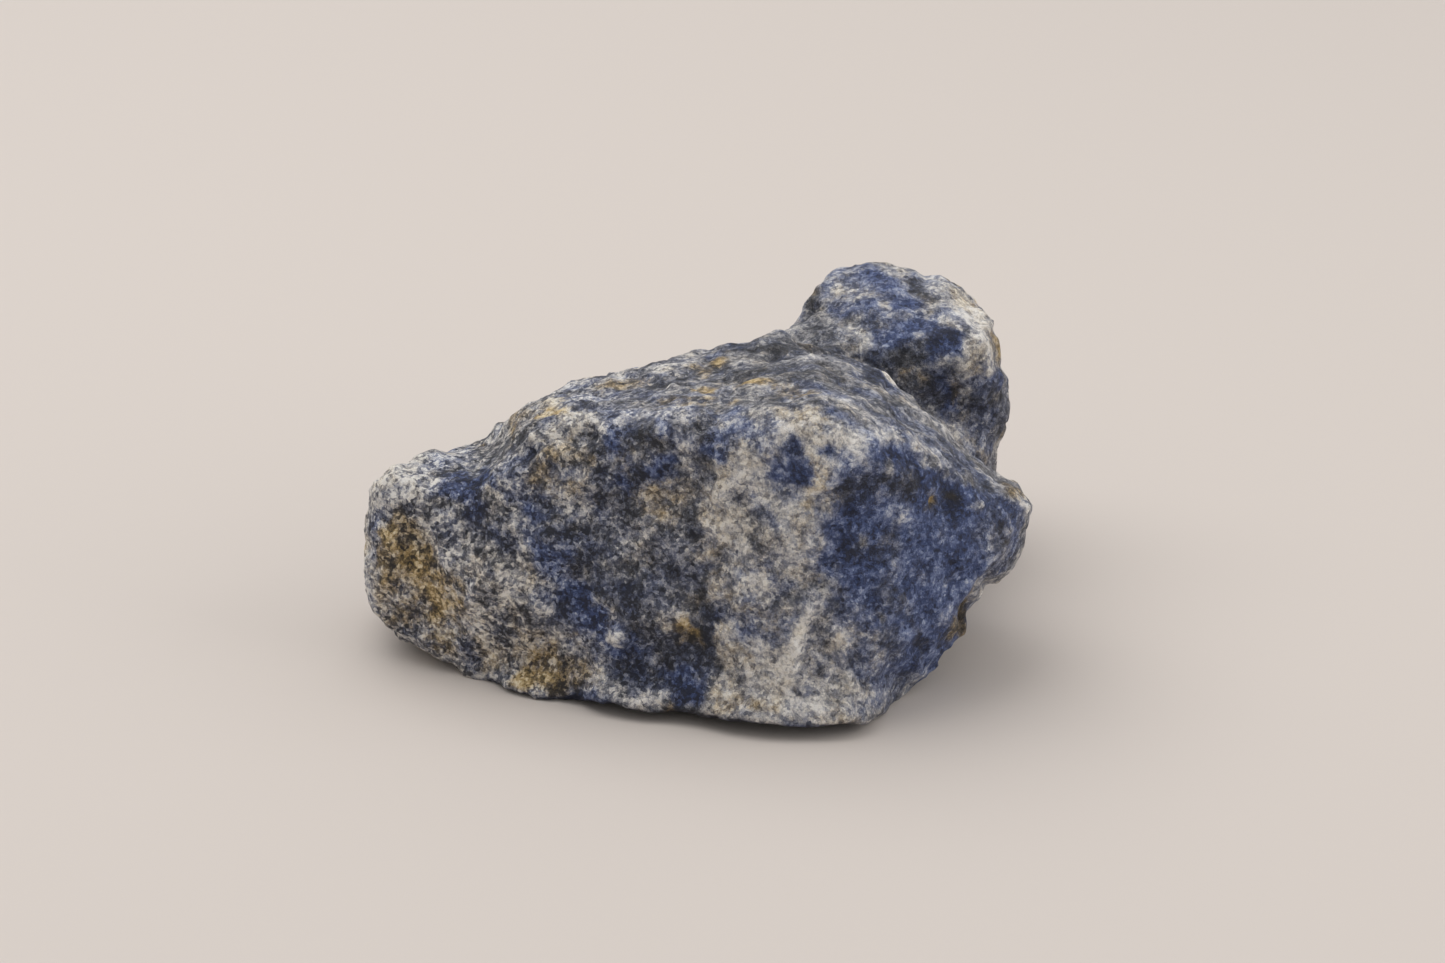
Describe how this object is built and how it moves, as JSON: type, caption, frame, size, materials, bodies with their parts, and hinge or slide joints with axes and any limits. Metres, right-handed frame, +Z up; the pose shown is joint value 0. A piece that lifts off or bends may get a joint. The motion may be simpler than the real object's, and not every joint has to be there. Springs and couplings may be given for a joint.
{
  "type": "blue quartz specimen",
  "caption": "Rough, worn lump of massive blue quartz: a blocky main mass with a low lobe at the left, a knob at the back right and a worn flat underneath.",
  "frame": {"origin": "middle of the bounding box's footprint, on the surface the stone rests on", "axes": "+X along the longest side, to the right seen from the broad front face; +Y to the back; +Z up"},
  "size_m": [0.0724, 0.0626, 0.0348],
  "materials": {
    "stone": "rough and matt, blue-grey mottled with pale grey, dark grey and ochre, with small glints on broken grains"
  },
  "bodies": {
    "root": {"stone": "stone"}
  },
  "joints": []
}
